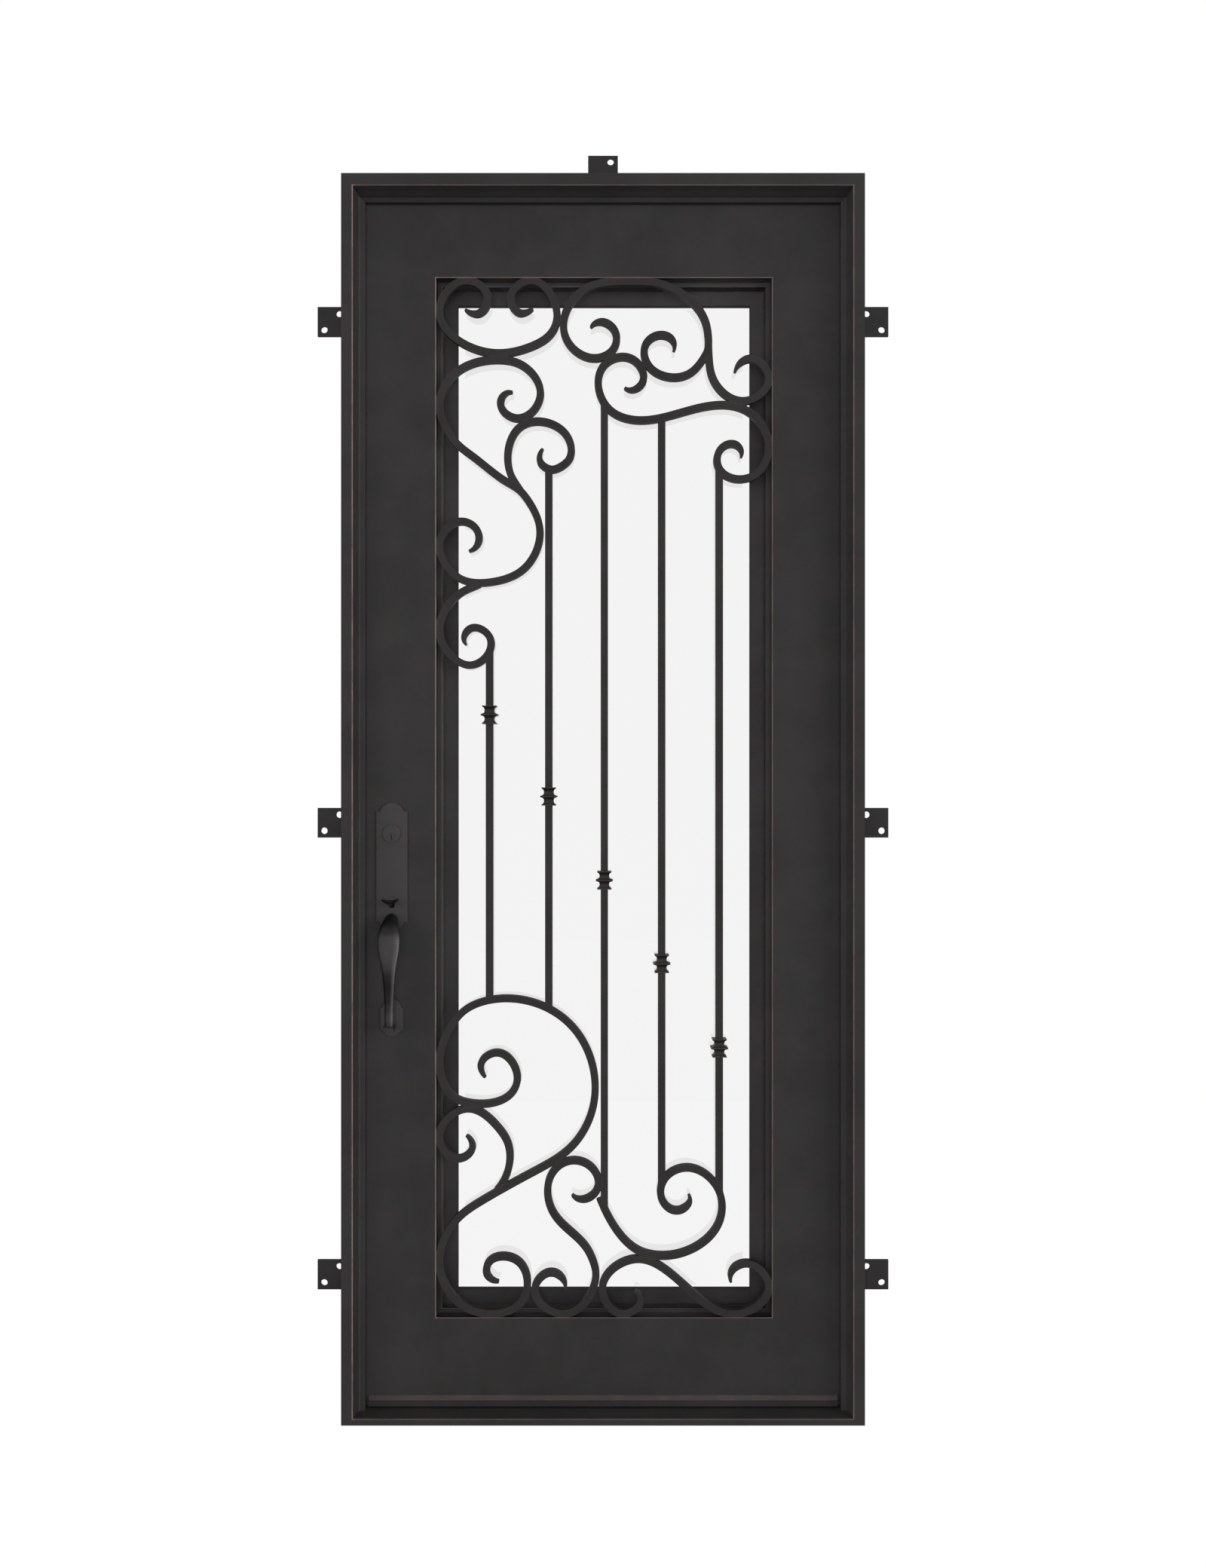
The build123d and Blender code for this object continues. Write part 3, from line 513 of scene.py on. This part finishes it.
def glass_material():
    """Clear pane: mirror images on the side met first, but none on the street over the sash."""
    graph = Graph("glass")
    graph.tree.nodes.remove(graph.shader)
    margin = graph.times(
        graph.ramp(beyond_rectangle(graph, sash_edge), -19.0 * MM, -15.0 * MM),
        graph.ramp(graph.facing()[1], -0.2, -0.6),
    )
    fresnel = graph.add("ShaderNodeFresnel")
    fresnel.inputs["IOR"].default_value = 2.05
    share = graph.times(fresnel.outputs[0], graph.math("SUBTRACT", 1.0, margin))
    clear = graph.add("ShaderNodeBsdfTransparent")
    graph.link(graph.mix(margin, pane_clear, pane_margin), clear.inputs["Color"])
    mirror = graph.add("ShaderNodeBsdfGlossy")
    mirror.inputs["Color"].default_value = white
    mirror.inputs["Roughness"].default_value = 0.0
    met_first = graph.blend(share, clear, mirror)
    leaving = graph.add("ShaderNodeBsdfTransparent")
    back_facing = graph.add("ShaderNodeNewGeometry").outputs["Backfacing"]
    both = graph.blend(back_facing, met_first, leaving)
    graph.link(both.outputs[0], graph.output.inputs["Surface"])
    return graph.material


def rubber_material():
    """Black seal rubber with a dull skin."""
    graph = Graph("rubber")
    dull = graph.ramp(graph.noise(400.0, 2.0), 0.3, 0.7)
    graph.link(graph.mix(dull, *rubber), graph.shader.inputs["Base Color"])
    graph.shader.inputs["Roughness"].default_value = 0.7
    graph.shader.inputs["Specular IOR Level"].default_value = 0.1
    return graph.material


def steel_material():
    """Satin steel, drawn along its length, for the latch and bolt."""
    graph = Graph("steel")
    drawn = graph.ramp(graph.noise(300.0, 2.0, 0.5, (1, 1, 0.05)), 0.3, 0.7, 0.30, 0.42)
    tarnish = graph.ramp(graph.noise(60.0, 3.0), 0.35, 0.7)
    graph.link(graph.mix(tarnish, *steel), graph.shader.inputs["Base Color"])
    graph.link(drawn, graph.shader.inputs["Roughness"])
    graph.shader.inputs["Metallic"].default_value = 1.0
    return graph.material


rubber_paint = rubber_material()
steel_paint = steel_material()

dress(frame_paint, "jamb_left", "jamb_right", "sill")
dress(head_paint, "head")
dress(slab_paint, "stile_lock", "stile_hinge", "rail_top", "rail_bottom")
dress(stop_paint, "stop_left", "stop_right")
dress(head_stop_paint, "stop_head")
dress(lip_paint, "lip_sides", "lip_ends")
dress(sash_paint, "sash_sides", "sash_ends")
dress(drip_paint, "drip_bar")
dress(edge_paint, "tabs_left", "tabs_right", "tab_top")
dress(plain_paint, "hinges_frame", "hinges_door")
for name in nodes:
    if name.startswith(("scroll_", "bar_")):
        dress(wrought_paint, name)
dress(collar_paint, "collars")
dress(hardware_paint, "plate_upper", "plate_lower", "lock_cylinder", "key_plug",
      "inside_lever", "inside_turn", "strikes", "edge_plates")
dress(grip_paint, "grip")
dress(thumb_paint, "thumb_latch")
dress(glass_material(), "glass")


class Shape:
    """Points and faces of one piece, gathered before it becomes a mesh."""

    def __init__(self):
        self.points = []
        self.faces = []

    def rings(self, rows):
        """Closed skin through rings of as many points each, capped at both ends."""
        start = len(self.points)
        count = len(rows[0])
        for row in rows:
            self.points.extend(row)
        for level in range(len(rows) - 1):
            low = start + level * count
            for step in range(count):
                after = (step + 1) % count
                self.faces.append((low + step, low + after, low + count + after,
                                   low + count + step))
        last = start + (len(rows) - 1) * count
        self.faces.append(tuple(range(start + count - 1, start - 1, -1)))
        self.faces.append(tuple(range(last, last + count)))

    def piece(self, name, material, body, smooth=True):
        """Mesh object that rides on a body."""
        mesh = bpy.data.meshes.new(name)
        mesh.from_pydata([tuple(point) for point in self.points], [], self.faces)
        mesh.materials.append(material)
        mesh.validate()
        made = bpy.data.objects.new(name, mesh)
        bpy.context.scene.collection.objects.link(made)
        if smooth:
            mesh.shade_smooth()
            mesh.set_sharp_from_angle(angle=math.radians(40))
        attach(made, body)


def cross_axes(along):
    """Two directions square to this one and to each other."""
    along = along.normalized()
    helper = Vector((0, 0, 1)) if abs(along.z) < 0.9 else Vector((1, 0, 0))
    first = along.cross(helper).normalized()
    return first, along.cross(first).normalized()


def circle(centre, axis, radius, count):
    """Ring of points round an axis."""
    first, second = cross_axes(axis)
    ring = []
    for step in range(count):
        turn = 2 * math.pi * step / count
        ring.append(centre + first * radius * math.cos(turn) + second * radius * math.sin(turn))
    return ring


def hexagon(centre, axis, radius, count):
    """Ring of points on a hexagon, as many as a round ring has."""
    first, second = cross_axes(axis)
    ring = []
    for step in range(count):
        turn = 2 * math.pi * step / count
        reach = radius / math.cos((turn % (math.pi / 3)) - math.pi / 6)
        ring.append(centre + first * reach * math.cos(turn) + second * reach * math.sin(turn))
    return ring


def turned(shape, centre, axis, profile, count):
    """Turned form on an axis; the profile gives radius and height along it."""
    shape.rings([
        circle(centre + axis * height, axis, radius, count) for radius, height in profile
    ])


def run(shape, section, start, end, side, out):
    """Straight strip with this section between two points."""
    shape.rings([
        [place + side * across + out * up for across, up in section] for place in (start, end)
    ])


def bead(shape, start, end, radius, pitch):
    """Weld bead with its ripples along a straight line between two points."""
    along = end - start
    steps = max(4, round(along.length / (pitch / 5)))
    rows = []
    for step in range(steps + 1):
        share = step / steps
        ripple = 1 + 0.16 * math.sin(2 * math.pi * share * along.length / pitch)
        swell = radius * ripple * min(1.0, 4 * share + 0.35, 4 * (1 - share) + 0.35)
        rows.append(circle(start + along * share, along, swell, 10))
    shape.rings(rows)


def screw_head(shape, centre, axis, radius, height):
    """Button head with a hexagon socket, standing on a face."""
    count = 24
    outline = [(1.0, -0.1), (1.0, 0.25), (0.92, 0.62), (0.74, 0.88), (0.52, 1.0)]
    rows = [
        circle(centre + axis * height * rise, axis, radius * share, count)
        for share, rise in outline
    ]
    rows.append(hexagon(centre + axis * height, axis, radius * 0.38, count))
    rows.append(hexagon(centre + axis * height * 0.3, axis, radius * 0.36, count))
    shape.rings(rows)


def islands(name):
    """Lowest and highest level of each of a node's separate solids, lowest first."""
    apart = 100 * MM
    heights = sorted({round(vertex.co.z, 4) for vertex in nodes[name].data.vertices})
    groups = [[heights[0]]]
    for height in heights[1:]:
        if height - groups[-1][-1] > apart:
            groups.append([])
        groups[-1].append(height)
    return [(group[0], group[-1]) for group in groups]


# Weather seal behind the door stops
seal_half = 2.5 * MM
seal_height = 4.6 * MM
seal_inset = 3.2 * MM
bulb = [
    (seal_half * math.cos(math.pi * step / 8),
     seal_height * (0.25 + 0.75 * math.sin(math.pi * step / 8)))
    for step in range(9)
]
seal_section = [(seal_half, 0.0), *bulb, (-seal_half, 0.0)]
seal_x = stop_box[0].x + seal_inset
seal_z = stop_head_box[0].z + seal_inset
seal_y = stop_box[1].y
seal = Shape()
for side in (-1, 1):
    run(seal, seal_section,
        Vector((side * seal_x, seal_y, sill_box[1].z)), Vector((side * seal_x, seal_y, seal_z)),
        Vector((1, 0, 0)), Vector((0, 1, 0)))
run(seal, seal_section, Vector((-seal_x, seal_y, seal_z)), Vector((seal_x, seal_y, seal_z)),
    Vector((0, 0, 1)), Vector((0, 1, 0)))
seal.piece("weather_seal", rubber_paint, "frame")

# Sweep of three fins under the slab
fin_half = 1.0 * MM
fin_tip_half = 0.5 * MM
fin_drop = 0.9 * (rail_bottom_box[0].z - sill_box[1].z)
fin = [(-fin_half, 0.0), (fin_half, 0.0), (fin_tip_half, -fin_drop), (-fin_tip_half, -fin_drop)]
sweep = Shape()
for place in (0.25, 0.5, 0.75):
    fin_y = slab_front + place * (slab_back - slab_front)
    run(sweep, fin,
        Vector((stile_lock_box[0].x, fin_y, rail_bottom_box[0].z)),
        Vector((stile_hinge_box[1].x, fin_y, rail_bottom_box[0].z)),
        Vector((0, 1, 0)), Vector((0, 0, 1)))
sweep.piece("door_sweep", rubber_paint, "door")

# Welds of the mounting tabs
weld_radius = 1.8 * MM
weld_pitch = 3.0 * MM


def weld_lines(name, body, lines):
    """One piece with a bead along each line."""
    shape = Shape()
    for start, end in lines:
        bead(shape, Vector(start), Vector(end), weld_radius, weld_pitch)
    shape.piece(name, plain_paint, body)


for name, side in (("tabs_left", -1), ("tabs_right", 1)):
    tab_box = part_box(name)
    jamb_side = side * jamb_box[1].x
    weld_lines(name + "_welds", "frame", [
        ((jamb_side, depth, low), (jamb_side, depth, high))
        for low, high in islands(name)
        for depth in (tab_box[0].y, tab_box[1].y)
    ])
tab_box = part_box("tab_top")
weld_lines("tab_top_welds", "frame", [
    ((tab_box[0].x, depth, head_box[1].z), (tab_box[1].x, depth, head_box[1].z))
    for depth in (tab_box[0].y, tab_box[1].y)
])

# Barrel hinges: welds along the leaves, domed caps on the barrels
hinge_x, hinge_y = frame["joints"][0]["pos_m"][:2]
hinge_radius = 11.0 * MM
hinge_length = 120.0 * MM
leaf_reach = 24.0 * MM
cap = [(1.0, -0.02), (1.0, 0.06), (0.90, 0.22), (0.66, 0.38), (0.34, 0.47), (0.08, 0.5)]
cap_profile = [(hinge_radius * share, hinge_radius * rise) for share, rise in cap]
cap_count = 28
frame_leaf_x = hinge_x + leaf_reach
door_leaf_x = stile_hinge_box[1].x - leaf_reach
frame_caps = Shape()
door_caps = Shape()
frame_lines = []
door_lines = []
for low, _ in islands("hinges_frame"):
    middle = low + hinge_length / 2
    top = low + hinge_length
    turned(frame_caps, Vector((hinge_x, hinge_y, low)), Vector((0, 0, -1)), cap_profile,
           cap_count)
    turned(door_caps, Vector((hinge_x, hinge_y, top)), Vector((0, 0, 1)), cap_profile,
           cap_count)
    frame_lines.append(((frame_leaf_x, frame_back, low), (frame_leaf_x, frame_back, middle)))
    door_lines.append(((door_leaf_x, slab_back, middle), (door_leaf_x, slab_back, top)))
frame_caps.piece("hinge_caps_frame", plain_paint, "frame")
door_caps.piece("hinge_caps_door", plain_paint, "door")
weld_lines("hinge_welds_frame", "frame", frame_lines)
weld_lines("hinge_welds_door", "door", door_lines)

# Screws round the sash flange, evenly spaced
flange_middle = 7.0 * MM
flange_left = sash_sides_box[0].x + flange_middle
flange_right = sash_sides_box[1].x - flange_middle
flange_low = sash_sides_box[0].z + flange_middle
flange_high = sash_sides_box[1].z - flange_middle
flange_face = sash_sides_box[1].y
flange_screw_radius = 4.5 * MM
flange_screw_height = 2.4 * MM
side_count = 8
end_count = 3
places = []
for step in range(side_count):
    level = flange_low + (flange_high - flange_low) * (step + 0.5) / side_count
    places += [(flange_left, level), (flange_right, level)]
for step in range(end_count):
    across = flange_left + (flange_right - flange_left) * (step + 0.5) / end_count
    places += [(across, flange_low), (across, flange_high)]
screws = Shape()
for x, z in places:
    screw_head(screws, Vector((x, flange_face, z)), Vector((0, 1, 0)), flange_screw_radius,
               flange_screw_height)
screws.piece("sash_screws", hardware_paint, "door")

# Latch and bolt behind their face plates, and the screws of face plates and strikes
plates_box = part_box("edge_plates")
strikes_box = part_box("strikes")
bolt_levels = [(low + high) / 2 for low, high in islands("edge_plates")]
bolt_y = (plates_box[0].y + plates_box[1].y) / 2
bolt_half_width = 6.2 * MM
bolt_half_height = 12.2 * MM
bolt_back = 1.3 * MM
bolt_front = 0.4 * MM
bolt_bevel = 0.5 * MM
plate_screw_rise = 20.5 * MM
strike_screw_rise = 25.0 * MM
flush_radius = 3.6 * MM
flush_height = 0.5 * MM
flush_sink = 0.2 * MM
bolts = Shape()
plate_screws = Shape()
strike_screws = Shape()
for level in bolt_levels:
    centre = Vector((plates_box[0].x, bolt_y, level))
    sections = [(1.0, bolt_back), (1.0, bolt_front + bolt_bevel), (0.9, bolt_front)]
    bolts.rings([
        [
            centre + Vector((inset, across * bolt_half_width * share,
                             up * bolt_half_height * share))
            for across, up in ((-1, -1), (1, -1), (1, 1), (-1, 1))
        ]
        for share, inset in sections
    ])
    for up in (-1, 1):
        screw_head(plate_screws, centre + Vector((flush_sink, 0, up * plate_screw_rise)),
                   Vector((-1, 0, 0)), flush_radius, flush_height)
        strike_place = Vector((strikes_box[1].x - flush_sink, bolt_y,
                               level + up * strike_screw_rise))
        screw_head(strike_screws, strike_place, Vector((1, 0, 0)), flush_radius, flush_height)
bolts.piece("latch_and_bolt", steel_paint, "door", smooth=False)
plate_screws.piece("edge_plate_screws", hardware_paint, "door")
strike_screws.piece("strike_screws", hardware_paint, "frame")


def joint_outline(name):
    """Edges of a bar where its sides end on the scroll that it is welded to."""
    mesh = nodes[name].data
    found = {}
    for polygon in mesh.polygons:
        normal = polygon.normal
        is_side = max(abs(normal.x), abs(normal.y)) > 0.999
        corners = [mesh.vertices[index].co for index in polygon.vertices]
        for first, second in zip(corners, corners[1:] + corners[:1]):
            ends = tuple(sorted((tuple(round(v, 6) for v in first),
                                 tuple(round(v, 6) for v in second))))
            found.setdefault(ends, set()).add(is_side)
    return [ends for ends, kinds in found.items() if len(kinds) == 2]


# Weld seams where the upright bars end on the scrolls
seam_radius = 0.55 * MM
seam_count = 8
for name in sorted(nodes):
    if name.startswith("bar_"):
        seam = Shape()
        for start, end in joint_outline(name):
            along = Vector(end) - Vector(start)
            seam.rings([
                circle(Vector(place), along, seam_radius, seam_count) for place in (start, end)
            ])
        seam.piece(name + "_seams", hardware_paint, "door")


# Pale floor, backdrop and soft studio light
def seen_directly(tree):
    """1 for what the camera sees by itself, in a mirror image or through glass."""
    path = tree.nodes.new("ShaderNodeLightPath")
    seen = path.outputs["Is Camera Ray"]
    for kind in ("Is Glossy Ray", "Is Transmission Ray"):
        either = tree.nodes.new("ShaderNodeMath")
        either.operation = "MAXIMUM"
        tree.links.new(seen, either.inputs[0])
        tree.links.new(path.outputs[kind], either.inputs[1])
        seen = either.outputs[0]
    return seen


def floor_material():
    """White floor that keeps a faint shadow."""
    graph = Graph("floor")
    graph.tree.nodes.remove(graph.shader)
    glow = graph.add("ShaderNodeEmission")
    glow.inputs["Strength"].default_value = 1.03
    matte = graph.add("ShaderNodeBsdfDiffuse")
    matte.inputs["Color"].default_value = floor_grey
    share = graph.times(seen_directly(graph.tree), 0.97)
    graph.link(graph.blend(share, matte, glow).outputs[0], graph.output.inputs["Surface"])
    return graph.material


floor_reach = 40.0
floor_back = 3.0
floor_drop = 0.2 * MM
floor_mesh = bpy.data.meshes.new("floor")
floor_mesh.from_pydata(
    [
        (-floor_reach, -floor_reach, 0),
        (floor_reach, -floor_reach, 0),
        (floor_reach, floor_back, 0),
        (-floor_reach, floor_back, 0),
    ],
    [], [(0, 1, 2, 3)],
)
floor = bpy.data.objects.new("floor", floor_mesh)
floor.location.z = -floor_drop
bpy.context.scene.collection.objects.link(floor)
floor_mesh.materials.append(floor_material())

sky_light = 0.32
sky_seen = 1.0
world = bpy.data.worlds.new("studio")
bpy.context.scene.world = world
world.use_nodes = True
background = world.node_tree.nodes["Background"]
sky_level = world.node_tree.nodes.new("ShaderNodeMapRange")
sky_level.inputs["To Min"].default_value = sky_light
sky_level.inputs["To Max"].default_value = sky_seen
world.node_tree.links.new(seen_directly(world.node_tree), sky_level.inputs["Value"])
background.inputs["Color"].default_value = white
world.node_tree.links.new(sky_level.outputs[0], background.inputs["Strength"])


def softbox(name, place, size, power, mirrored=False):
    """Square area lamp turned to the door's middle; mirrored lamps show in gloss."""
    lamp = bpy.data.lights.new(name, "AREA")
    lamp.energy = power
    lamp.shape = "SQUARE"
    lamp.size = size
    holder = bpy.data.objects.new(name, lamp)
    holder.location = place
    holder.visible_camera = False
    holder.visible_glossy = mirrored
    aim = Vector((0, 0, 1.25)) - Vector(place)
    holder.rotation_euler = aim.to_track_quat("-Z", "Y").to_euler()
    bpy.context.scene.collection.objects.link(holder)


softbox("front", (0.0, -9.0, 1.6), 5.0, 368)
softbox("right", (7.0, -5.5, 1.6), 4.5, 300, mirrored=True)
softbox("left", (-7.0, -5.5, 1.6), 4.5, 215)
softbox("room", (0.0, 12.0, 1.5), 3.0, 1900)

# Camera at the photo's place: level, square to the door
view_distance = 3.0
view_height = 3.0514
camera_level = 1.2488
sensor = 36
camera_data = bpy.data.cameras.new("camera")
camera_data.sensor_width = sensor
camera_data.lens = sensor * view_distance / view_height
camera = bpy.data.objects.new("camera", camera_data)
camera.location = (0, frame_front - view_distance, camera_level)
camera.rotation_euler = (math.pi / 2, 0, 0)
bpy.context.scene.collection.objects.link(camera)
bpy.context.scene.camera = camera
bpy.context.scene.view_settings.view_transform = "Standard"
